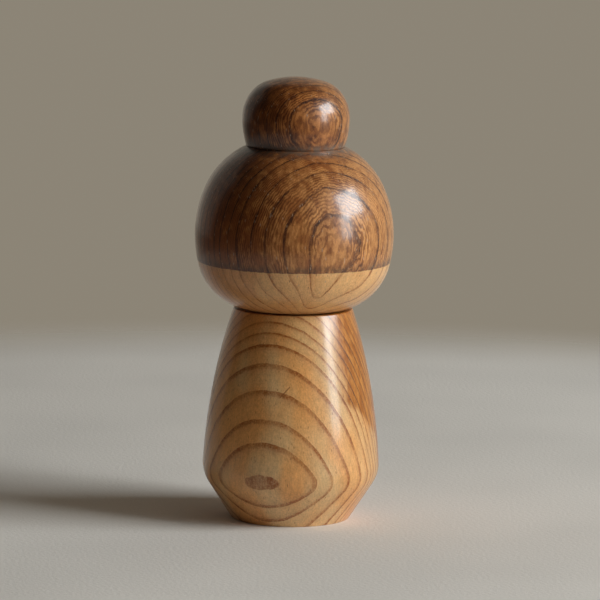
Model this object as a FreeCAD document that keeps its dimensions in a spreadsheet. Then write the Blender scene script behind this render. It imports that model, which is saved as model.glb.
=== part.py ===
import FreeCAD, Part
import math
import os

import Sketcher

# A turned wooden kokeshi doll: a body, a round head that turns on a peg in the body's neck, and a
# topknot glued into the crown of the head. Millimetres. The origin is the centre of the foot, with
# +Z up the turning axis. Every piece is drawn as a half section in the XZ plane and turned about Z.

doc = FreeCAD.newDocument("kokeshi_doll")


# ---------------------------------------------------------------- sizes

SIZES = {
    # body, from the foot up
    "body_height": 57.4,
    "foot_radius": 16.1,
    "hip_radius": 23.93,
    "hip_height": 14.9,
    "hip_round": 9.5,
    "flank_round": 166.0,
    "neck_radius": 16.1,
    # head, heights from its underside
    "head_height": 43.65,
    "head_radius": 26.87,
    "head_widest_height": 19.7,
    "head_seat_radius": 15.0,
    "cheek_inset": 1.05,
    "cheek_height": 11.4,
    "crown_inset": 2.95,
    "crown_height": 33.0,
    "crown_seat_radius": 13.3,
    # topknot, heights from its seat on the crown
    "knot_height": 18.7,
    "knot_radius": 14.5,
    "knot_widest_height": 7.6,
    "knot_side_round": 10.8,
    "knot_corner_round": 9.0,
    "knot_dome_round": 25.0,
    # glued spigot under the topknot
    "spigot_radius": 6.0,
    "spigot_length": 11.0,
    "glue_room": 1.0,
    # neck peg: glued into the head, turning in the body's socket
    "peg_radius": 5.5,
    "peg_grip": 13.0,
    "peg_end_chamfer": 0.6,
    "bead_rise": 0.5,
    "bead_length": 5.0,
    # the body's socket: a narrow lip over a wider chamber that keeps the bead in
    "lip_length": 6.0,
    "running_clearance": 0.05,
    "bead_play": 0.3,
    "chamber_clearance": 0.25,
    # seam between body and head, and the broken edges
    "neck_gap": 0.3,
    "rim_round": 0.4,
}

sheet = doc.addObject("Spreadsheet::Sheet", "sizes")
for row, (name, value) in enumerate(SIZES.items(), start=1):
    sheet.set(f"A{row}", name)
    sheet.set(f"B{row}", str(value))
    sheet.setAlias(f"B{row}", name)
doc.recompute()


def named(expression):
    """The expression with every size name pointed at the sheet."""
    words = expression.replace("(", "( ").replace(")", " )").split()
    return " ".join(f"sizes.{word}" if word in SIZES else word for word in words)


def worked_out(expression):
    """The value of an expression over the sheet's sizes."""
    return float(sheet.evalExpression(named(expression)))


def at(radius, height):
    """The sketch point at a radius and a height, both expressions over the sheet's sizes."""
    return FreeCAD.Vector(worked_out(radius), worked_out(height), 0)


def around(centre, size, angle):
    """A point of a round, by its angle above level in degrees."""
    turned = math.radians(angle)
    return centre + FreeCAD.Vector(math.cos(turned), math.sin(turned), 0) * worked_out(size)


# ---------------------------------------------------------------- half sections


def origin_plane(body, role):
    return next(plane for plane in body.Origin.OriginFeatures if plane.Role == role)


def new_sketch(body, name, role="XZ_Plane"):
    sketch = body.newObject("Sketcher::SketchObject", name)
    sketch.AttachmentSupport = [(origin_plane(body, role), "")]
    sketch.MapMode = "FlatFace"
    return sketch


START, END, CENTRE = 1, 2, 3
LEVEL_AXIS, UPRIGHT_AXIS = -1, -2
ORIGIN = (LEVEL_AXIS, START)

# A new arc starts out bowed by this share of its length, until its constraints give its true size.
ROUGH_BOW = 0.1


class HalfSection:
    """An outline drawn counter-clockwise from a point on the axis, closed back down the axis.

    Radii and heights are expressions over the sheet's sizes, and each one becomes a driving
    dimension of the sketch."""

    def __init__(self, body, name, bottom="0"):
        self.sketch = new_sketch(body, name)
        self.here = at("0", bottom)
        self.last = None
        self.bottom = bottom

    def constrain(self, *what):
        return self.sketch.addConstraint(Sketcher.Constraint(*what))

    def drive(self, kind, what, expression):
        """A dimension that follows the sheet."""
        index = self.constrain(kind, *what, worked_out(expression))
        name = f"size_{index}"
        self.sketch.renameConstraint(index, name)
        self.sketch.setExpression(f"Constraints.{name}", named(expression))

    def pin(self, edge, end, radius, height):
        """Holds one end of an edge at a radius and a height."""
        places = (("DistanceX", radius, UPRIGHT_AXIS), ("DistanceY", height, LEVEL_AXIS))
        for kind, value, axis in places:
            if value == "0":
                self.constrain("PointOnObject", edge, end, axis)
            else:
                self.drive(kind, (*ORIGIN, edge, end), value)

    def join(self, edge, how="Coincident"):
        if self.last is None:
            self.pin(edge, START, "0", self.bottom)
        else:
            self.constrain(how, self.last, END, edge, START)
        self.last = edge

    def add(self, curve, there, how):
        edge = self.sketch.addGeometry(curve, False)
        self.join(edge, how)
        self.here = there
        return edge

    def line_towards(self, there):
        """A straight edge whose far end is left to what it meets."""
        return self.add(Part.LineSegment(self.here, there), there, "Coincident")

    def line(self, radius, height):
        """A straight edge to a radius and a height."""
        edge = self.line_towards(at(radius, height))
        self.pin(edge, END, radius, height)

    def arc_towards(self, there, how="Tangent"):
        """An arc whose far end is left to what it meets."""
        run = there - self.here
        bow = FreeCAD.Vector(run.y, -run.x, 0) * ROUGH_BOW
        middle = (self.here + there) * 0.5 + bow
        return self.add(Part.Arc(self.here, middle, there), there, how)

    def arc(self, radius, height, how="Tangent"):
        """An arc to a radius and a height."""
        edge = self.arc_towards(at(radius, height), how)
        self.pin(edge, END, radius, height)
        return edge

    def upright_at_end(self, edge):
        """The arc's far end is its outermost point."""
        self.constrain("Horizontal", edge, CENTRE, edge, END)

    def close(self):
        """Straight back down the axis to where the outline began."""
        edge = self.line_towards(at("0", self.bottom))
        self.constrain("Coincident", edge, END, 0, START)
        doc.recompute()
        if self.sketch.solve() != 0 or not self.sketch.FullyConstrained:
            raise RuntimeError(f"{self.sketch.Name} is not fully constrained")
        return self.sketch


def turn(body, name, sketch):
    """The half section turned a full circle about the axis."""
    solid = body.newObject("PartDesign::Revolution", name)
    solid.Profile = sketch
    solid.ReferenceAxis = (sketch, ["V_Axis"])
    solid.Angle = 360
    doc.recompute()
    return solid


def must_shrink(before, cut):
    """A groove or pocket that misses the solid shows no error, so the volume is compared."""
    if not cut.Shape.Volume < before.Shape.Volume:
        raise RuntimeError(f"{cut.Name} cut nothing")


def turn_out(body, name, sketch, before):
    """The half section cut away all round the axis."""
    cut = body.newObject("PartDesign::Groove", name)
    cut.Profile = sketch
    cut.ReferenceAxis = (sketch, ["V_Axis"])
    cut.Angle = 360
    doc.recompute()
    must_shrink(before, cut)
    return cut


def bore(body, name, radius, depth, before, height="0", upward=False):
    """A round blind hole on the axis, cut down from a height or up from it."""
    sketch = new_sketch(body, f"{name}_circle", "XY_Plane")
    sketch.setExpression("AttachmentOffset.Base.z", named(height))
    circle = Part.Circle(FreeCAD.Vector(0, 0, 0), FreeCAD.Vector(0, 0, 1), worked_out(radius))
    sketch.addGeometry(circle, False)
    sketch.addConstraint(Sketcher.Constraint("Coincident", 0, CENTRE, *ORIGIN))
    sketch.addConstraint(Sketcher.Constraint("Radius", 0, worked_out(radius)))
    sketch.renameConstraint(1, "bore_radius")
    sketch.setExpression("Constraints.bore_radius", named(radius))
    hole = body.newObject("PartDesign::Pocket", name)
    hole.Profile = sketch
    hole.Reversed = upward
    hole.setExpression("Length", named(depth))
    doc.recompute()
    must_shrink(before, hole)
    return hole


SAME_PLACE = 1e-4


def rims(solid, *places):
    """The names of the circular edges that lie at the given (radius, height) places."""
    found = []
    for radius, height in places:
        for number, edge in enumerate(solid.Shape.Edges, start=1):
            if edge.Degenerated or not isinstance(edge.Curve, Part.Circle):
                continue
            circle = edge.Curve
            off_radius = abs(circle.Radius - worked_out(radius))
            off_height = abs(circle.Center.z - worked_out(height))
            if max(off_radius, off_height) < SAME_PLACE:
                found.append(f"Edge{number}")
    if len(found) != len(places):
        raise RuntimeError(f"{solid.Name}: {len(found)} of {len(places)} rims found")
    return found


def break_edges(body, solid, *places):
    """Rounds sharp rims over, as fine sandpaper does on the lathe."""
    fillet = body.newObject("PartDesign::Fillet", f"{body.Label}_broken_edges")
    fillet.Base = (solid, rims(solid, *places))
    fillet.setExpression("Radius", named("rim_round"))
    doc.recompute()
    return fillet


def new_piece(label, height="0"):
    """A body whose own origin stands on the turning axis at a height above the foot."""
    piece = doc.addObject("PartDesign::Body", label)
    piece.Label = label
    piece.setExpression("Placement.Base.z", named(height))
    return piece


# ---------------------------------------------------------------- sizes that follow from others

HEAD_SEAT = "body_height + neck_gap"
CROWN_SEAT = f"{HEAD_SEAT} + head_height"
BEAD_TOP = "lip_length + bead_play"
PEG_DEPTH = f"{BEAD_TOP} + bead_length"
SOCKET_DEPTH = f"{PEG_DEPTH} + bead_play"
BEAD_RADIUS = "peg_radius + bead_rise"

# Roughly how far above level, in degrees, two rounds meet: the sketch's solver starts from here.
CHAMFER_MEETS_HIP = -34
HIP_MEETS_FLANK = 3
SIDE_MEETS_CORNER = 42
CORNER_MEETS_DOME = 71


# ---------------------------------------------------------------- the four pieces


def make_body():
    """Foot, slanting chamfer, round hip, long slightly bowed flank, and the socket in the neck."""
    piece = new_piece("body")
    outline = HalfSection(piece, "body_outline")
    outline.line("foot_radius", "0")

    # one arc makes the hip: the chamfer runs up into it and the flank leaves it, both without a corner
    hip_centre = at("hip_radius - hip_round", "hip_height")
    outline.line_towards(around(hip_centre, "hip_round", CHAMFER_MEETS_HIP))
    hip = outline.arc_towards(around(hip_centre, "hip_round", HIP_MEETS_FLANK))
    outline.pin(hip, CENTRE, "hip_radius - hip_round", "hip_height")
    outline.drive("Radius", (hip,), "hip_round")
    flank = outline.arc("neck_radius", "body_height")
    outline.drive("Radius", (flank,), "flank_round")

    outline.line("0", "body_height")
    block = turn(piece, "turned_block", outline.close())

    socket_floor = f"body_height - ( {SOCKET_DEPTH} )"
    chamber = f"{BEAD_RADIUS} + chamber_clearance"
    mouth = "peg_radius + running_clearance"
    socket = HalfSection(piece, "socket_outline", socket_floor)
    socket.line(chamber, socket_floor)
    socket.line(chamber, "body_height - lip_length")
    socket.line(mouth, "body_height - lip_length")
    socket.line(mouth, "body_height")
    socket.line("0", "body_height")
    hollowed = turn_out(piece, "neck_socket", socket.close(), block)

    break_edges(piece, hollowed, ("foot_radius", "0"), ("neck_radius", "body_height"))
    return piece


def make_head():
    """A slightly squat ball with a flat seat below for the neck and one above for the topknot."""
    piece = new_piece("head", HEAD_SEAT)
    outline = HalfSection(piece, "head_outline")
    outline.line("head_seat_radius", "0")

    outline.arc("head_radius - cheek_inset", "cheek_height", "Coincident")
    widest = outline.arc("head_radius", "head_widest_height")
    outline.upright_at_end(widest)
    outline.arc("head_radius - crown_inset", "crown_height")
    outline.arc("crown_seat_radius", "head_height")

    outline.line("0", "head_height")
    ball = turn(piece, "turned_ball", outline.close())

    for_peg = bore(piece, "peg_bore", "peg_radius", "peg_grip + glue_room", ball, upward=True)
    spigot_depth = "spigot_length + glue_room"
    bored = bore(piece, "spigot_bore", "spigot_radius", spigot_depth, for_peg, "head_height")

    break_edges(piece, bored, ("head_seat_radius", "0"), ("crown_seat_radius", "head_height"))
    return piece


def make_topknot():
    """The bun of hair: a low round knob with a domed top, turned in one with its spigot."""
    piece = new_piece("topknot", CROWN_SEAT)
    outline = HalfSection(piece, "knot_outline", "0 - spigot_length")
    outline.line("spigot_radius", "0 - spigot_length")
    outline.line("spigot_radius", "0")
    outline.line("crown_seat_radius", "0")

    widest = outline.arc("knot_radius", "knot_widest_height", "Coincident")
    outline.upright_at_end(widest)
    side_centre = at("knot_radius - knot_side_round", "knot_widest_height")
    side = outline.arc_towards(around(side_centre, "knot_side_round", SIDE_MEETS_CORNER))
    outline.drive("Radius", (side,), "knot_side_round")
    dome_centre = at("0", "knot_height - knot_dome_round")
    corner = outline.arc_towards(around(dome_centre, "knot_dome_round", CORNER_MEETS_DOME))
    outline.drive("Radius", (corner,), "knot_corner_round")
    dome = outline.arc("0", "knot_height")
    outline.constrain("PointOnObject", dome, CENTRE, UPRIGHT_AXIS)
    outline.drive("Radius", (dome,), "knot_dome_round")

    knob = turn(piece, "turned_knob", outline.close())
    break_edges(piece, knob, ("crown_seat_radius", "0"))
    return piece


def make_neck_peg():
    """A hardwood peg: a plain shank glued into the head, and a bead that the socket's lip keeps in."""
    piece = new_piece("neck_peg", "body_height")
    lowest = f"0 - ( {PEG_DEPTH} )"
    shank_top = "neck_gap + peg_grip"
    outline = HalfSection(piece, "peg_outline", lowest)
    outline.line(f"{BEAD_RADIUS} - peg_end_chamfer", lowest)
    outline.line(BEAD_RADIUS, f"{lowest} + peg_end_chamfer")
    outline.line(BEAD_RADIUS, f"0 - ( {BEAD_TOP} )")
    outline.line("peg_radius", f"0 - ( {BEAD_TOP} )")
    outline.line("peg_radius", f"{shank_top} - peg_end_chamfer")
    outline.line("peg_radius - peg_end_chamfer", shank_top)
    outline.line("0", shank_top)
    turn(piece, "turned_peg", outline.close())
    return piece


pieces = [make_body(), make_head(), make_topknot(), make_neck_peg()]
doc.recompute()


# ---------------------------------------------------------------- checks and files

for item in doc.Objects:
    if "Invalid" in item.State or "Error" in item.State:
        raise RuntimeError(f"{item.Name} failed: {item.State}")

os.makedirs("parts", exist_ok=True)
for piece in pieces:
    shape = piece.Shape
    if shape.isNull() or not shape.isValid() or len(shape.Solids) != 1:
        raise RuntimeError(f"{piece.Label} is not one valid solid")
    shape.exportStep(os.path.join("parts", f"{piece.Label}.step"))
    print(f"{piece.Label}: {shape.Volume:.1f} mm3, {shape.BoundBox.ZMax:.2f} mm to its top")
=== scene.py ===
import math

import bmesh
import bpy
from mathutils import Matrix, Vector


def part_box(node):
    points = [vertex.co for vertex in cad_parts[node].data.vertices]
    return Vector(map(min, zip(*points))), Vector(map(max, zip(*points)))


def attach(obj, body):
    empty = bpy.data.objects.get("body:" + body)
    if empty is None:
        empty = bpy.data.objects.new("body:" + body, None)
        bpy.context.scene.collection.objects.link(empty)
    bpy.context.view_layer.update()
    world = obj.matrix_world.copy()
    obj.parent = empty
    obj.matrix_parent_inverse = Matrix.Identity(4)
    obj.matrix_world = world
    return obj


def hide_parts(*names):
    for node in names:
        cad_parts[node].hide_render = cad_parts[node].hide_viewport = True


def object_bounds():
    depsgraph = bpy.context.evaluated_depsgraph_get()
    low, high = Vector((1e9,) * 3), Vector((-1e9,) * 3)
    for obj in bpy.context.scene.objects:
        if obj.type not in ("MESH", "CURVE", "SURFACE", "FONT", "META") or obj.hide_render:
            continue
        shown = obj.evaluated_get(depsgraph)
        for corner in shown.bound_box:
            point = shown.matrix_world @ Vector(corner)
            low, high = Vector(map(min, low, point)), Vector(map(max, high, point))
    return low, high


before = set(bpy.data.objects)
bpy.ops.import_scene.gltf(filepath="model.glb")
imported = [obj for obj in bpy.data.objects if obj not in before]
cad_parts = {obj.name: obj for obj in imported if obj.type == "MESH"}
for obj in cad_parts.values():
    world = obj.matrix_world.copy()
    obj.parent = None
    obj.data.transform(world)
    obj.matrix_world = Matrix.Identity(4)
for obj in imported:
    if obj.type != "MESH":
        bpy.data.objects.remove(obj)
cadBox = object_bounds()
mm = 0.001
scene = bpy.context.scene
print("frame loaded:", ", ".join(sorted(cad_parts)))


# Outlines are half sections: (radius, height) in mm, from the axis out and back to it.
lathe = {
    "facets": 192,  # flats round the axis
    "step": 0.55,  # mm between points along a bend
    "straightStep": 1.1,  # mm between points along a straight run
    "rimRound": 0.4,  # how far sharp rims are sanded over
    "rimReach": 0.6,  # the most of each face that a rim's round may take
    "rimPoints": 6,
    "rimClear": 1.2,  # times that reach: the points nearer the corner than this make way for the round
    "sharpTurn": 25,  # degrees; a corner tighter than this gets sanded
    "straight": 0.1,  # degrees; a bend below this is drawn straight
}


def swung(arrow, angle):
    cosine, sine = math.cos(angle), math.sin(angle)
    return Vector((arrow.x * cosine - arrow.y * sine, arrow.x * sine + arrow.y * cosine))


def bendTo(outline, heading, target):
    # an arc that leaves the last point along heading and ends at target; gives the heading there
    start = outline[-1]
    target = Vector(target)
    chord = target - start
    side = Vector((-heading.y, heading.x))
    turn = 2 * math.atan2(chord.dot(side), chord.dot(heading))
    if abs(turn) < math.radians(lathe["straight"]):
        outline.append(target)
        return chord.normalized()
    radius = chord.length_squared / (2 * chord.dot(side))
    centre = start + side * radius
    count = max(2, math.ceil(abs(radius * turn) / lathe["step"]))
    for i in range(1, count + 1):
        outline.append(centre + swung(start - centre, turn * i / count))
    return swung(heading, turn)


def fromTheWidest(widest, below, above):
    # bends that run down and up from the widest point, where the side stands upright
    down, up = [Vector(widest)], [Vector(widest)]
    heading = Vector((0, -1))
    for place in below:
        heading = bendTo(down, heading, place)
    heading = Vector((0, 1))
    for place in above:
        heading = bendTo(up, heading, place)
    return list(reversed(down)) + up[1:]


def straightTo(outline, *places):
    for place in places:
        start, end = Vector(outline[-1]), Vector(place)
        count = max(1, math.ceil((end - start).length / lathe["straightStep"]))
        outline += [start.lerp(end, i / count) for i in range(1, count + 1)]


def walk(outline, at, way, length):
    # the point that lies a length along the outline from point number at
    here = outline[at]
    while 0 <= at + way < len(outline):
        there = outline[at + way]
        gap = (there - here).length
        if gap >= length:
            return here.lerp(there, length / gap)
        length -= gap
        here = there
        at += way
    return here


def sandRims(outline):
    # sharp corners become small rounds, as fine paper leaves them
    sharp = math.radians(lathe["sharpTurn"])
    soft, i = [outline[0]], 1
    while i < len(outline) - 1:
        corner = outline[i]
        turn = abs((corner - outline[i - 1]).angle_signed(outline[i + 1] - corner, 0))
        if turn < sharp:
            soft.append(corner)
            i += 1
            continue
        reach = min(lathe["rimRound"] * math.tan(turn / 2), lathe["rimReach"])
        start = walk(outline, i, -1, reach)
        end = walk(outline, i, 1, reach)
        clear = reach * lathe["rimClear"]
        while len(soft) > 1 and (soft[-1] - corner).length < clear:
            soft.pop()
        for j in range(lathe["rimPoints"] + 1):
            t = j / lathe["rimPoints"]
            soft.append(start * (1 - t) ** 2 + corner * 2 * t * (1 - t) + end * t**2)
        i += 1
        while i < len(outline) - 1 and (outline[i] - corner).length < clear:
            i += 1
    soft.append(outline[-1])
    return soft


def turnOnLathe(name, outline):
    # spins a half section into a closed solid
    mesh = bpy.data.meshes.new(name)
    work = bmesh.new()
    facets = lathe["facets"]
    rings = []
    for radius, height in outline:
        if radius == 0:
            rings.append([work.verts.new((0, 0, height * mm))])
            continue
        ring = []
        for i in range(facets):
            angle = 2 * math.pi * i / facets
            place = (radius * mm * math.cos(angle), radius * mm * math.sin(angle), height * mm)
            ring.append(work.verts.new(place))
        rings.append(ring)
    for lower, upper in zip(rings, rings[1:]):
        for i in range(facets):
            j = (i + 1) % facets
            if len(lower) == 1:
                corners = (lower[0], upper[j], upper[i])
            elif len(upper) == 1:
                corners = (lower[i], lower[j], upper[0])
            else:
                corners = (lower[i], lower[j], upper[j], upper[i])
            work.faces.new(corners).smooth = True
    bmesh.ops.recalc_face_normals(work, faces=work.faces)
    work.to_mesh(mesh)
    work.free()
    piece = bpy.data.objects.new(name, mesh)
    scene.collection.objects.link(piece)
    return piece


def heightsAndWidest(node):
    # lowest height, highest height and widest radius of a CAD node, in mm
    low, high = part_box(node)
    return low.z / mm, high.z / mm, high.x / mm


# Material steps: each adds one node to the tree and gives back its socket.


def step(tree, kind, wires=None, out=0, **settings):
    node = tree.nodes.new("ShaderNode" + kind)
    for name, value in settings.items():
        setattr(node, name, value)
    for socket, value in (wires or {}).items():
        if isinstance(value, bpy.types.NodeSocket):
            tree.links.new(value, node.inputs[socket])
        else:
            node.inputs[socket].default_value = value
    return node.outputs[out]


def calc(tree, operation, *values):
    return step(tree, "Math", dict(enumerate(values)), operation=operation)


def times(tree, *values):
    result = values[0]
    for value in values[1:]:
        result = calc(tree, "MULTIPLY", result, value)
    return result


def plus(tree, *values):
    result = values[0]
    for value in values[1:]:
        result = calc(tree, "ADD", result, value)
    return result


def arrows(tree, operation, *values, out=0):
    return step(tree, "VectorMath", dict(enumerate(values)), out, operation=operation)


def scaled(tree, arrow, amount):
    return step(tree, "VectorMath", {0: arrow, "Scale": amount}, operation="SCALE")


def asideOf(tree, place):
    return step(tree, "SeparateXYZ", {0: place})


def heightOf(tree, place):
    return step(tree, "SeparateXYZ", {0: place}, out=2)


def fade(tree, value, start, end, low=0.0, high=1.0):
    wires = {"Value": value, "From Min": start, "From Max": end, "To Min": low, "To Max": high}
    return step(tree, "MapRange", wires, interpolation_type="SMOOTHSTEP")


def tint(tree, share, under, over, how="MIX"):
    wires = {0: share, 6: under, 7: over}
    return step(tree, "Mix", wires, out=2, data_type="RGBA", blend_type=how)


def noise(tree, place, fineness, detail=2.0, roughness=0.5):
    wires = {"Vector": place, "Scale": fineness, "Detail": detail, "Roughness": roughness}
    return step(tree, "TexNoise", wires, noise_dimensions="3D")


def swing(tree, place, fineness, reach, detail=2.0):
    # noise that swings evenly about zero, by about plus or minus reach
    return times(tree, calc(tree, "SUBTRACT", noise(tree, place, fineness, detail), 0.5), 2 * reach)


def drawnOut(tree, place, grain, share):
    # the place squeezed along the grain, so that what is drawn there comes out long and thin
    along = arrows(tree, "DOT_PRODUCT", place, grain, out=1)
    return arrows(tree, "ADD", place, scaled(tree, grain, times(tree, along, share - 1)))


def ringArrows(wood):
    # unit arrows: outwards through the rings, level across them, and up along the grain
    facing, dip = math.radians(wood["facing"]), math.radians(wood["dip"])
    level = Vector((math.sin(facing), -math.cos(facing), 0))
    across = Vector((math.cos(facing), math.sin(facing), 0))
    outwards = level * math.cos(dip) - Vector((0, 0, math.sin(dip)))
    grain = level * math.sin(dip) + Vector((0, 0, math.cos(dip)))
    return outwards, across, grain


def depthInTree(tree, place, wood):
    # how far out from the block's axis towards the bark a point lies, following the round of the rings
    outwards, across, grain = ringArrows(wood)
    centre = (0, 0, wood["centreHeight"])
    fromCentre = arrows(tree, "SUBTRACT", place, centre)
    out = arrows(tree, "DOT_PRODUCT", fromCentre, tuple(outwards), out=1)
    side = arrows(tree, "DOT_PRODUCT", fromCentre, tuple(across), out=1)
    fromHeart = plus(tree, out, wood["heartAway"])
    squares = plus(tree, times(tree, fromHeart, fromHeart), times(tree, side, side))
    depth = calc(tree, "SUBTRACT", calc(tree, "SQRT", squares), wood["heartAway"])

    # growth isn't even: long slow swings, then smaller ones that give a line its shaky hand
    slow = drawnOut(tree, place, tuple(grain), wood["swingDrawn"])
    for perMm, reach in wood["swings"]:
        depth = plus(tree, depth, swing(tree, slow, perMm, reach))
    if wood["fold"]:
        depth = foldRings(tree, place, side, depth, wood["fold"])
    return depth


def foldRings(tree, place, side, depth, fold):
    # the rings fold back along an upright line, and crowd together where a twig once grew
    off = calc(tree, "SUBTRACT", side, fold["aside"])
    depth = calc(tree, "SUBTRACT", depth, times(tree, calc(tree, "ABSOLUTE", off), fold["slope"]))
    fromTwig = calc(tree, "SUBTRACT", side, fold["twigAside"])
    overTwig = calc(tree, "SUBTRACT", heightOf(tree, place), fold["twigHeight"])
    asideShare = calc(tree, "DIVIDE", fromTwig, fold["twigWide"])
    upShare = calc(tree, "DIVIDE", overTwig, fold["twigTall"])
    away = plus(tree, times(tree, asideShare, asideShare), times(tree, upShare, upShare))
    swell = calc(tree, "EXPONENT", times(tree, away, -0.5))  # a bell curve, 1 at the twig
    return plus(tree, depth, times(tree, swell, fold["twigSwell"]))


def yearShare(tree, depth, wood):
    # how far through its year a point is, 0 to 1; every year has its own width
    widths = wood["ringWidths"]
    total = sum(widths)
    wires = {"Value": depth, "From Min": wood["barkSide"] - total, "From Max": wood["barkSide"]}
    share = step(tree, "MapRange", wires)
    node = tree.nodes.new("ShaderNodeFloatCurve")
    curve = node.mapping.curves[0]
    reached = 0
    for i, width in enumerate(reversed(widths)):
        if i:
            curve.points.new(reached / total, i / len(widths))
        reached += width
    for point in curve.points:
        point.handle_type = "VECTOR"
    node.mapping.update()
    tree.links.new(share, node.inputs["Value"])
    return calc(tree, "FRACT", times(tree, node.outputs[0], len(widths)))


def ringTone(tree, year, wood):
    # 1 in the porous line that opens each year, sharp on its inner side, then fading to 0
    node = tree.nodes.new("ShaderNodeValToRGB")
    ramp = node.color_ramp
    line = wood["lineShare"]
    tones = [  # share of the year, and how dark
        (0.0, 0.9), (0.02, 1.0), (0.75 * line, 0.9), (1.25 * line, 0.3),
        (2.4 * line, 0.1), (0.75, 0.0), (0.985, 0.04), (1.0, 0.9),
    ]
    for share, _ in tones[1:-1]:
        ramp.elements.new(share)
    for element, (share, tone) in zip(ramp.elements, tones):
        element.position = share
        element.color = (tone, tone, tone, 1)
    tree.links.new(year, node.inputs[0])
    return node.outputs[0]


def openPores(tree, place, grain, crowding, wood):
    # open vessels: dots where the surface cuts across them, dashes where it runs along the grain
    cells = tree.nodes.new("ShaderNodeTexVoronoi")
    cells.inputs["Scale"].default_value = 1 / wood["poreSpacing"]
    tree.links.new(drawnOut(tree, place, grain, wood["poreDrawn"]), cells.inputs["Vector"])
    size = wood["poreSize"] / wood["poreSpacing"]
    dot = fade(tree, cells.outputs["Distance"], size, wood["poreCore"] * size)
    lot = step(tree, "SeparateColor", {0: cells.outputs["Color"]})
    return times(tree, dot, calc(tree, "LESS_THAN", lot, crowding))


noiseSpan = (0.3, 0.7)  # where most of a noise's values lie


def drawFigure(tree, place, grain, depth, wood):
    # the patterns in the wood that its colour, its polish and its relief all follow
    long = drawnOut(tree, place, grain, wood["fibreDrawn"])
    longer = drawnOut(tree, place, grain, wood["cloudDrawn"])
    year = yearShare(tree, depth, wood)
    uneven = fade(tree, noise(tree, longer, wood["unevenPerMm"]), *noiseSpan, *wood["lineStrength"])
    grit = fade(tree, noise(tree, place, *wood["grit"]), *wood["gritSpan"], *wood["gritStrength"])

    # wavy bands of fine pores inside each year
    shake = swing(tree, longer, *wood["bandShake"])
    shaken = plus(tree, calc(tree, "DIVIDE", depth, wood["bandWidth"]), shake)
    wave = calc(tree, "SINE", times(tree, shaken, 2 * math.pi))
    patches = noise(tree, longer, wood["patchPerMm"])
    patches = fade(tree, patches, *wood["patchSpan"], wood["patchLeast"])

    # open pores crowd in the line that opens the year, and stray through the rest of it
    far, near = [share * wood["lineShare"] for share in wood["crowdedSpan"]]
    crowding = plus(tree, wood["strayPores"], times(tree, fade(tree, year, far, near), wood["crowdedPores"]))
    return {
        "tone": times(tree, ringTone(tree, year, wood), uneven, grit),
        "bands": times(tree, fade(tree, wave, *wood["bandSpan"]), patches),
        "pores": openPores(tree, place, grain, crowding, wood),
        "fibre": noise(tree, long, *wood["fibre"]),
        "coarse": noise(tree, long, *wood["coarse"]),
        "speck": noise(tree, place, *wood["speck"]),
        "cloud": noise(tree, longer, wood["cloudPerMm"]),
    }


def heartShare(tree, place, depth, grain, tongue):
    # the orange heartwood: inside a depth that rises to a tongue and falls away again
    past = calc(tree, "SUBTRACT", heightOf(tree, place), tongue["height"])
    above = times(tree, past, -tongue["fallAbove"])
    below = times(tree, past, tongue["fallBelow"])
    edge = plus(tree, calc(tree, "MINIMUM", above, below), tongue["depth"])
    edge = calc(tree, "MAXIMUM", edge, tongue["least"])
    ragged = swing(tree, drawnOut(tree, place, grain, tongue["raggedDrawn"]), *tongue["ragged"])
    outer = plus(tree, edge, tongue["blur"])
    inner = calc(tree, "SUBTRACT", edge, tongue["blur"])
    return fade(tree, plus(tree, depth, ragged), outer, inner)


def bareColour(tree, place, grain, depth, figure, wood):
    # clean wood: broad clouds of colour with painted sheen paling the right side, the ring lines over them,
    # then bands and fibre
    # painted sheen: the wood turns paler for each mm to the right, the side the window lamp lights
    warmthLessSheen = calc(tree, "SUBTRACT", figure["cloud"], times(tree, asideOf(tree, place), wood["lean"]))
    pale = tint(tree, fade(tree, warmthLessSheen, *wood["warmSpan"]), wood["pale"], wood["paleWarm"])
    pale = tint(tree, fade(tree, depth, *wood["innerSpan"]), pale, wood["inner"], "MULTIPLY")
    line = wood["line"]
    tongue = wood["heartTongue"]
    if tongue:
        heart = heartShare(tree, place, depth, grain, tongue)
        streaks = fade(tree, figure["coarse"], *tongue["streakSpan"])
        pale = tint(tree, heart, pale, tint(tree, streaks, tongue["orange"], tongue["streak"]))
        line = tint(tree, heart, line, tongue["line"])
    colour = tint(tree, times(tree, figure["tone"], wood["lineDepth"]), pale, line)
    colour = tint(tree, times(tree, figure["bands"], wood["bandDepth"]), colour, wood["band"], "MULTIPLY")
    lift = 1.0
    for pattern, change in wood["lifts"].items():
        lift = plus(tree, lift, fade(tree, figure[pattern], *noiseSpan, -change, change))
    return scaled(tree, colour, lift)


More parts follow.
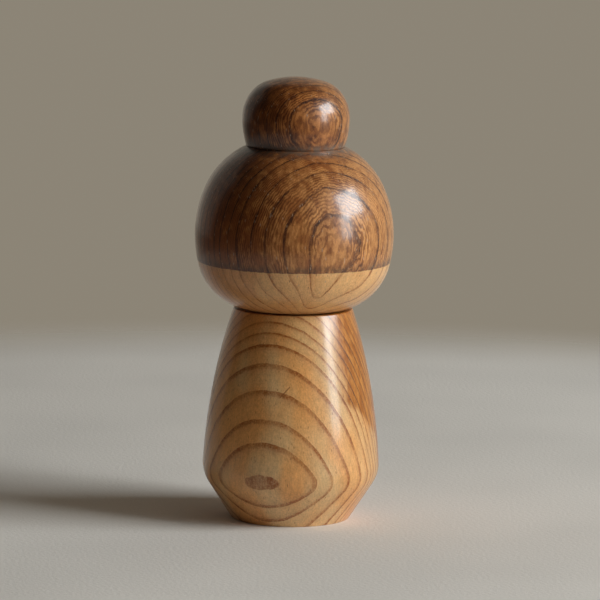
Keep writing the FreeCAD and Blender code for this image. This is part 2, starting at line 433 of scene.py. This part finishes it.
def stainHair(tree, place, grain, colour, figure, stain):
    # brown stain above the hairline, paled towards the right by painted sheen; smoky along that line;
    # painted shade in the groove under the topknot, dark on the left and grey ring on the right
    height = heightOf(tree, place)
    aside = asideOf(tree, place)
    bleed = swing(tree, drawnOut(tree, place, grain, stain["bleedDrawn"]), *stain["bleed"])
    line = stain["line"]
    stained = fade(tree, plus(tree, height, bleed), line - stain["blur"], line + stain["blur"])

    patches = noise(tree, drawnOut(tree, place, grain, stain["patchDrawn"]), *stain["patch"])
    # painted sheen: the stain is drawn thinner for each mm to the right, so the lit right side comes out
    # paler
    thinningAndSheen = plus(tree, patches, times(tree, aside, stain["lean"]))
    film = tint(tree, fade(tree, thinningAndSheen, *stain["thinSpan"]), stain["thick"], stain["thin"])
    hair = tint(tree, 1.0, colour, film, "MULTIPLY")
    hair = tint(tree, times(tree, figure["tone"], stain["lineDepth"]), hair, stain["ringLine"])
    hair = tint(tree, times(tree, figure["bands"], stain["bandDepth"]), hair, stain["bandTint"], "MULTIPLY")

    overLine = fade(tree, height, line + stain["smokeTop"], line + stain["smokeFoot"])
    overLine = times(tree, overLine, stain["smokeAtLine"])
    # painted shade in the groove under the topknot: dark on the shaded left, turning to the groove's grey
    # ring on the right
    fromGroove = calc(tree, "ABSOLUTE", calc(tree, "SUBTRACT", height, stain["groove"]))
    inGroove = fade(tree, fromGroove, *stain["grooveSpan"])
    mottle = noise(tree, drawnOut(tree, place, grain, stain["mottleDrawn"]), *stain["mottle"])
    mottle = fade(tree, mottle, *stain["mottleSpan"], stain["mottleLeast"])
    scorchAndShade = times(tree, calc(tree, "MAXIMUM", overLine, inGroove), mottle)
    greyed = times(tree, inGroove, fade(tree, aside, *stain["greySpan"]))
    scorchAndShadeColour = tint(tree, greyed, stain["scorchAndShade"], stain["grooveGrey"])
    hair = tint(tree, times(tree, scorchAndShade, stain["scorchAndShadeDepth"]), hair, scorchAndShadeColour)
    return tint(tree, stained, colour, hair), times(tree, scorchAndShade, stained, stain["smokeRough"])


def darkenPores(tree, place, colour, figure, wood):
    # dark where a pore is open, paler where polish has filled it
    filled = fade(tree, noise(tree, place, wood["filledPerMm"]), *wood["filledSpan"])
    inside = tint(tree, filled, wood["pore"], wood["porePale"])
    return tint(tree, times(tree, figure["pores"], wood["poreDark"]), colour, inside)


def scratchShare(tree, place, scratch):
    # 1 along the middle of a straight scratch, 0 away from it
    start = Vector(scratch["from"])
    along = Vector(scratch["to"]) - start
    fromStart = arrows(tree, "SUBTRACT", place, tuple(start))
    share = arrows(tree, "DOT_PRODUCT", fromStart, tuple(along / along.length_squared), out=1)
    nearest = scaled(tree, tuple(along), step(tree, "Clamp", {"Value": share}))
    gap = arrows(tree, "DISTANCE", fromStart, nearest, out=1)
    return fade(tree, gap, *scratch["wideSpan"])


def woodMaterial(name, wood, stain=None):
    material = bpy.data.materials.new(name)
    material.use_nodes = True
    tree = material.node_tree
    shader = tree.nodes["Principled BSDF"]
    place = scaled(tree, step(tree, "TexCoord", out=3), 1 / mm)
    grain = tuple(ringArrows(wood)[2])
    depth = depthInTree(tree, place, wood)
    figure = drawFigure(tree, place, grain, depth, wood)

    colour = bareColour(tree, place, grain, depth, figure, wood)
    dull = 0.0
    if stain:
        colour, dull = stainHair(tree, place, grain, colour, figure, stain)
    colour = darkenPores(tree, place, colour, figure, wood)

    # open pores and soft early wood take the polish least
    rough = plus(
        tree, wood["roughness"], dull,
        times(tree, figure["tone"], wood["lineRough"]), times(tree, figure["pores"], wood["poreRough"]),
        fade(tree, figure["coarse"], *noiseSpan, -wood["coarseRough"], wood["coarseRough"]),
    )

    # relief in mm: the rings that sandpaper leaves, sunk pores and early wood, and raised fibre
    alongTurn = plus(tree, heightOf(tree, place), swing(tree, place, *wood["markWander"]))
    marks = noise(tree, step(tree, "CombineXYZ", {2: alongTurn}), *wood["marks"])
    relief = times(tree, marks, wood["markRelief"])
    for pattern, raised in wood["relief"].items():
        relief = plus(tree, relief, times(tree, figure[pattern], raised))

    scratch = wood["scratch"]
    if scratch:
        scored = scratchShare(tree, place, scratch)
        colour = tint(tree, times(tree, scored, scratch["dark"]), colour, wood["pore"])
        relief = plus(tree, relief, times(tree, scored, -scratch["sunk"]))
    bump = step(tree, "Bump", {"Height": relief, "Strength": 1.0, "Distance": mm})
    tree.links.new(colour, shader.inputs["Base Color"])
    tree.links.new(rough, shader.inputs["Roughness"])
    tree.links.new(bump, shader.inputs["Normal"])
    for socket, value in lacquer.items():
        shader.inputs[socket].default_value = value
    return material


# a thin rubbed lacquer over bare wood
lacquer = {
    "IOR": 1.5,
    "Specular IOR Level": 0.35,
    "Coat Weight": 0.6,
    "Coat Roughness": 0.16,
    "Coat IOR": 1.5,
}

# What the woods share. A noise is (how many to a mm, layers of detail, weight of the fine layers) and
# a swing is (how many to a mm, mm to either side, layers of detail). A span is where a fade starts and ends.
sharedWood = {
    "swingDrawn": 0.5, "swings": [(0.05, 0.18), (0.35, 0.12), (1.1, 0.035)],
    "fold": None, "heartTongue": None, "scratch": None,  # marks that only one piece has
    "lineShare": 0.17,  # of a year, that its dark opening line takes up
    "lineDepth": 0.92, "lineStrength": (0.6, 1.1), "unevenPerMm": 0.2,
    "grit": (1.6, 3, 0.7), "gritSpan": (0.32, 0.62), "gritStrength": (0.6, 1.1),
    "bandWidth": 0.42, "bandDepth": 0.14,
    "bandShake": (0.9, 0.8, 3),  # a swing in widths of a band, not in mm
    "bandSpan": (-0.7, 0.9),  # of the wave that draws the bands, which runs from -1 to 1
    "band": (0.80, 0.68, 0.52, 1),
    "patchPerMm": 0.12, "patchSpan": (0.35, 0.65), "patchLeast": 0.35,  # where the bands show most
    "warmSpan": (0.36, 0.64),
    "lean": 0.007,  # for each mm to the right the wood is painted paler: painted sheen on the lit right side
    "inner": (0.85, 0.74, 0.60, 1), "innerSpan": (16.0, 5.0),  # how the wood darkens inwards; mm
    "line": (0.30, 0.085, 0.014, 1),
    "fibreDrawn": 0.12, "fibre": (3.0, 3, 0.65), "coarse": (1.0, 2), "speck": (2.4, 2, 0.6),
    "lifts": {"fibre": 0.10, "coarse": 0.06, "speck": 0.08},  # how far each lightens and darkens
    "cloudDrawn": 0.4, "cloudPerMm": 0.08,
    "poreSpacing": 0.5, "poreSize": 0.19, "poreCore": 0.4, "poreDrawn": 0.25,
    "strayPores": 0.09, "crowdedPores": 0.65, "crowdedSpan": (1.5, 0.9),  # in widths of the line
    "poreDark": 0.6, "pore": (0.24, 0.075, 0.016, 1), "porePale": (0.30, 0.11, 0.03, 1),
    "filledPerMm": 0.5, "filledSpan": (0.44, 0.52),
    "roughness": 0.33, "lineRough": 0.08, "poreRough": 0.12, "coarseRough": 0.03,
    "relief": {"pores": -0.02, "tone": -0.010, "bands": 0.004, "fibre": 0.012, "speck": 0.008},  # mm
    "marks": (2.2, 3, 0.7), "markRelief": 0.012, "markWander": (0.12, 0.35),
}

bodyWood = dict(
    sharedWood,
    facing=-18.75, dip=10.7,  # degrees: where the bark side faces, and how far it tips down
    centreHeight=14.0, heartAway=31.4,  # mm
    barkSide=25.6,  # mm out from the axis to the last year's outer edge
    ringWidths=[2.36, 2.29, 1.9, 2.75, 2.8, 2.23, 1.41, 1.37, 1.6, 1.5, 1.8, 1.6, 1.3, 1.7, 2.0,
                1.6, 1.4, 1.9, 1.6, 2.1, 1.8, 2.0, 1.7, 1.9, 1.6, 2.1, 1.8, 1.5, 1.9],
    pale=(0.69, 0.437, 0.206, 1), paleWarm=(0.73, 0.345, 0.11, 1),
    heartTongue={
        "height": 34.5, "depth": 11.2, "least": 4.5, "blur": 1.2,  # mm
        "fallAbove": 0.33, "fallBelow": 0.62,  # mm for each mm up or down
        "ragged": (0.35, 1.8, 3), "raggedDrawn": 0.12,
        "orange": (0.36, 0.11, 0.011, 1), "streak": (0.47, 0.18, 0.03, 1), "streakSpan": (0.36, 0.62),
        "line": (0.11, 0.03, 0.005, 1),
    },
    scratch={
        "from": (-0.6, -20.92, 38.9), "to": (-3.1, -21.24, 36.1),  # mm
        "wideSpan": (0.26, 0.078), "sunk": 0.05, "dark": 0.7,
    },
)

bodyShape = {
    "foot": 16.1,  # mm; heights are from the foot
    "chamferTop": (22.41, 9.74),
    "hipHeight": 14.9, "flankStart": (-0.014, 15.42),  # out from the widest radius, and up
    "neck": 16.1,
    "mouth": 5.55, "lipLength": 6.0, "chamber": 6.25, "socketDepth": 11.6,
}


def makeBody():
    _, top, widest = heightsAndWidest("body")
    shape = bodyShape
    flank = (widest + shape["flankStart"][0], shape["flankStart"][1])
    outline = [Vector((0, 0))]
    straightTo(outline, (shape["foot"], 0))
    side = fromTheWidest(
        (widest, shape["hipHeight"]), [shape["chamferTop"]], [flank, (shape["neck"], top)]
    )
    straightTo(outline, side[0])
    outline += side[1:]
    lip = top - shape["lipLength"]
    floor = top - shape["socketDepth"]
    straightTo(
        outline, (shape["mouth"], top), (shape["mouth"], lip), (shape["chamber"], lip),
        (shape["chamber"], floor), (0, floor),
    )
    piece = turnOnLathe("turnedBody", sandRims(outline))
    piece.data.materials.append(woodMaterial("lacqueredBodyWood", bodyWood))
    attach(piece, "torso")
    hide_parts("body")
    print("body turned")


headWood = dict(
    sharedWood,
    facing=27.8, dip=0.0, centreHeight=77.5, heartAway=64.0, barkSide=27.4,
    ringWidths=[1.93, 2.96, 2.91, 2.44, 3.26, 2.3, 2.5, 2.1, 2.4, 2.2, 2.6, 2.1, 2.4, 2.2, 2.5, 2.3,
                2.4, 2.2, 2.5, 2.3, 2.4, 2.1, 2.6, 2.3, 2.2],
    swings=[(0.05, 0.25), (0.24, 0.34), (0.9, 0.12)],
    fold={
        "aside": -3.7, "slope": 0.10,  # mm, and mm of depth for each mm
        "twigAside": -5.4, "twigWide": 2.9, "twigHeight": 56.0, "twigTall": 9.0, "twigSwell": 4.2,  # mm
    },
    lineShare=0.11, lineStrength=(0.35, 1.1),
    bandShake=(0.6, 1.2, 3), bandDepth=0.35, patchPerMm=0.14, bandSpan=(-0.3, 0.6),
    pale=(0.72, 0.405, 0.165, 1), paleWarm=(0.64, 0.31, 0.11, 1),
    pore=(0.10, 0.03, 0.01, 1), porePale=(0.45, 0.32, 0.22, 1), roughness=0.35,
)

hairStain = {
    "line": 70.25, "blur": 0.10, "bleed": (1.1, 0.22, 3), "bleedDrawn": 0.25,  # mm
    "thick": (0.44, 0.28, 0.195, 1), "thin": (0.80, 0.64, 0.51, 1), "thinSpan": (0.38, 0.66),
    "patch": (0.5, 4, 0.6), "patchDrawn": 0.6,
    "lean": 0.005,  # for each mm to the right the stain is painted paler: painted sheen on the lit right side
    "ringLine": (0.05, 0.018, 0.008, 1), "lineDepth": 0.9,
    "bandTint": (0.38, 0.28, 0.21, 1), "bandDepth": 0.85,
    # this dark colour is the scorch along the hairline and the painted shade in the groove under the topknot
    "scorchAndShade": (0.055, 0.035, 0.024, 1), "smokeAtLine": 0.75, "scorchAndShadeDepth": 0.85, "smokeRough": 0.2,
    "smokeTop": 2.9, "smokeFoot": 0.3,  # mm over the line: where the scorch ends, and where it is full
    "mottle": (0.7, 4, 0.7), "mottleDrawn": 0.5, "mottleSpan": (0.36, 0.60), "mottleLeast": 0.2,
    "groove": 101.35, "grooveSpan": (2.6, 0.4), "grooveGrey": (0.17, 0.125, 0.095, 1),  # mm
    "greySpan": (-9.0, 9.0),  # mm aside: the groove is painted dark as shade on the left and turns to its grey ring on the right
}

headShape = {
    "lowerSeat": 15.0, "widestAt": 19.7, "crownSeat": 13.3,  # mm; heights are from the underside
    "cheek": (-1.05, 11.4), "crown": (-2.95, 33.0),  # out from the widest radius, and up
    "pegBore": 5.5, "pegBoreDepth": 14.0, "spigotBore": 6.0, "spigotBoreDepth": 12.0,
}


def makeHead():
    low, top, widest = heightsAndWidest("head")
    shape = headShape
    outline = [Vector((0, low + shape["pegBoreDepth"]))]
    straightTo(outline, (shape["pegBore"], low + shape["pegBoreDepth"]), (shape["pegBore"], low))
    cheek = (widest + shape["cheek"][0], low + shape["cheek"][1])
    crown = (widest + shape["crown"][0], low + shape["crown"][1])
    side = fromTheWidest(
        (widest, low + shape["widestAt"]),
        [cheek, (shape["lowerSeat"], low)],
        [crown, (shape["crownSeat"], top)],
    )
    straightTo(outline, side[0])
    outline += side[1:]
    bottom = top - shape["spigotBoreDepth"]
    straightTo(outline, (shape["spigotBore"], top), (shape["spigotBore"], bottom), (0, bottom))
    piece = turnOnLathe("turnedHead", sandRims(outline))
    piece.data.materials.append(woodMaterial("stainedHeadWood", headWood, hairStain))
    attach(piece, "turning_head")
    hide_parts("head")
    print("head turned")


knotWood = dict(
    headWood,
    facing=26, centreHeight=109.0, heartAway=60.0, barkSide=15.1,
    ringWidths=[2.6, 1.9, 2.2, 2.2, 2.0, 2.3, 2.1, 2.4, 2.2, 2.3, 2.1, 2.4, 2.2, 2.3, 2.2],
    swings=[(0.08, 0.25), (0.3, 0.3), (1.0, 0.14)],
    fold=None,
)

# the topknot is stained all over, so its line lies far below it
knotStain = dict(hairStain, line=0.0, thick=(0.32, 0.20, 0.14, 1), thin=(0.74, 0.58, 0.45, 1))

knotShape = {
    "seat": 13.3, "widestAt": 7.6,  # mm; heights from the seat
    "shoulder": (11.73, 14.95), "brow": (7.9, 17.44),
    "spigot": 6.0, "spigotLength": 11.0,
}


def makeTopknot():
    low, top, widest = heightsAndWidest("topknot")
    shape = knotShape
    seat = low + shape["spigotLength"]
    outline = [Vector((0, low))]
    straightTo(outline, (shape["spigot"], low), (shape["spigot"], seat))
    dome = [(radius, seat + height) for radius, height in (shape["shoulder"], shape["brow"])]
    side = fromTheWidest((widest, seat + shape["widestAt"]), [(shape["seat"], seat)], dome + [(0, top)])
    straightTo(outline, side[0])
    outline += side[1:]
    outline[-1] = Vector((0, top))  # exactly on the axis, so that the dome closes in one point
    piece = turnOnLathe("turnedTopknot", sandRims(outline))
    piece.data.materials.append(woodMaterial("stainedKnotWood", knotWood, knotStain))
    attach(piece, "turning_head")
    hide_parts("topknot")
    print("topknot turned")


pegWood = dict(
    sharedWood,
    facing=70, dip=0.0, centreHeight=58.0, heartAway=60.0, barkSide=7.5,
    ringWidths=[1.1, 1.3, 1.0, 1.2, 1.4, 1.1, 1.2, 1.3, 1.1, 1.2, 1.3, 1.2],
    lineShare=0.2, pale=(0.56, 0.40, 0.23, 1), paleWarm=(0.52, 0.35, 0.18, 1),
    line=(0.34, 0.19, 0.08, 1), poreSpacing=0.4, poreSize=0.08,
)


def burnishNeckPeg():
    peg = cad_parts["neck_peg"]
    peg.data.materials.clear()
    peg.data.materials.append(woodMaterial("burnishedPegWood", pegWood))
    print("neck peg burnished")


makeBody()
makeHead()
makeTopknot()
burnishNeckPeg()


# A round table top whose edge fades into the room, so that it looks the same from every side.
table = {
    "radius": 0.40, "fadeSpan": (0.36, 0.26), "facets": 128,  # m
    "pale": (0.86, 0.80, 0.735, 1), "shade": (0.79, 0.735, 0.675, 1), "roughness": 0.9,
    "cloudsPerM": 9.0, "cloudSpan": (0.35, 0.65),
    "threadsPerM": 900.0, "threadHeight": 0.0002, "threadStrength": 0.4,
}


def layTable():
    mesh = bpy.data.meshes.new("tableTop")
    work = bmesh.new()
    bmesh.ops.create_circle(work, cap_ends=True, segments=table["facets"], radius=table["radius"])
    work.to_mesh(mesh)
    work.free()
    top = bpy.data.objects.new("tableTop", mesh)
    scene.collection.objects.link(top)
    material = bpy.data.materials.new("paleCloth")
    material.use_nodes = True
    tree = material.node_tree
    shader = tree.nodes["Principled BSDF"]
    place = step(tree, "TexCoord", out=3)
    clouds = fade(tree, noise(tree, place, table["cloudsPerM"]), *table["cloudSpan"])
    tree.links.new(tint(tree, clouds, table["pale"], table["shade"]), shader.inputs["Base Color"])
    shader.inputs["Roughness"].default_value = table["roughness"]
    weave = noise(tree, place, table["threadsPerM"])
    wires = {"Height": weave, "Strength": table["threadStrength"], "Distance": table["threadHeight"]}
    tree.links.new(step(tree, "Bump", wires), shader.inputs["Normal"])
    away = arrows(tree, "LENGTH", place, out=1)
    tree.links.new(fade(tree, away, *table["fadeSpan"]), shader.inputs["Alpha"])
    mesh.materials.append(material)
    print("table laid")


room = {
    "wall": (0.262, 0.232, 0.182),
    "brightSide": (0.64, 0.66, -0.4),  # the way towards the room's bright side, at the right and behind
    "brightSpan": (-0.2, 0.8),  # cosines of the angle to that side, between which the wall brightens
    "bright": 1.5,  # how strongly the wall lights the doll from there, and from the other side
    "dim": 0.05,
}

# degrees round and above the doll, m and watts
lights = {
    "window": {"azimuth": 77, "elevation": 27, "away": 1.5, "size": (0.84, 0.56), "power": 19.5,
               "colour": (0.90, 0.97, 1.0)},
    "windowFoot": {"azimuth": 63.5, "elevation": 9, "away": 1.5, "size": (0.36, 0.5), "power": 4.6,
                   "colour": (0.90, 0.97, 1.0)},
    "paperScreen": {"azimuth": 48, "elevation": 15, "away": 1.5, "size": (1.6, 1.5), "power": 3.4,
                    "colour": (1.0, 0.82, 0.64)},
    "paperBehind": {"azimuth": 222, "elevation": 18, "away": 1.5, "size": (1.6, 1.3), "power": 1.3,
                    "colour": (1.0, 0.91, 0.78)},
}


def roundTheDoll(azimuth, elevation, away, target):
    # a place seen from the doll: azimuth to the viewer's right, elevation above level
    a, e = math.radians(azimuth), math.radians(elevation)
    arrow = Vector((math.sin(a) * math.cos(e), -math.cos(a) * math.cos(e), math.sin(e)))
    return target + arrow * away


def lightRoom():
    world = bpy.data.worlds.new("room")
    scene.world = world
    world.use_nodes = True
    tree = world.node_tree
    seen = tree.nodes["Background"]
    seen.inputs["Color"].default_value = (*room["wall"], 1)
    towards = arrows(tree, "DOT_PRODUCT", step(tree, "TexCoord"), room["brightSide"], out=1)
    strength = fade(tree, towards, *room["brightSpan"], room["dim"], room["bright"])
    lit = step(tree, "Background", {"Color": (*room["wall"], 1), "Strength": strength})
    shown = step(tree, "LightPath")
    mixed = step(tree, "MixShader", {0: shown, 1: lit, 2: seen.outputs[0]})
    tree.links.new(mixed, tree.nodes["World Output"].inputs[0])
    middle = (cadBox[0] + cadBox[1]) / 2
    for name, spec in lights.items():
        lamp = bpy.data.lights.new(name, "AREA")
        lamp.shape = "RECTANGLE"
        lamp.size, lamp.size_y = spec["size"]
        lamp.energy = spec["power"]
        lamp.color = spec["colour"]
        holder = bpy.data.objects.new(name, lamp)
        scene.collection.objects.link(holder)
        holder.location = roundTheDoll(spec["azimuth"], spec["elevation"], spec["away"], middle)
        holder.rotation_euler = (middle - holder.location).to_track_quat("-Z", "Y").to_euler()
    print("lights hung")


view = {
    "elevation": 8.5, "away": 1.218,  # degrees and m
    "lens": 270.0, "sensor": 36.0,  # mm
    "roll": 0.9,  # degrees that the doll seems to lean to the right
    "aside": 1.84, "lower": 0.61,  # mm from the doll's middle to where the camera looks
}


def setCamera():
    middle = (cadBox[0] + cadBox[1]) / 2
    middle += Vector((view["aside"], 0, -view["lower"])) * mm
    data = bpy.data.cameras.new("camera")
    data.lens = view["lens"]
    data.sensor_width = view["sensor"]
    camera = bpy.data.objects.new("camera", data)
    scene.collection.objects.link(camera)
    camera.location = roundTheDoll(0, view["elevation"], view["away"], middle)
    look = (middle - camera.location).to_track_quat("-Z", "Y").to_matrix()
    lean = Matrix.Rotation(math.radians(view["roll"]), 3, "Z")
    camera.rotation_euler = (look @ lean).to_euler()
    scene.camera = camera
    print("camera set")


layTable()
lightRoom()
setCamera()
scene.view_settings.view_transform = "Standard"
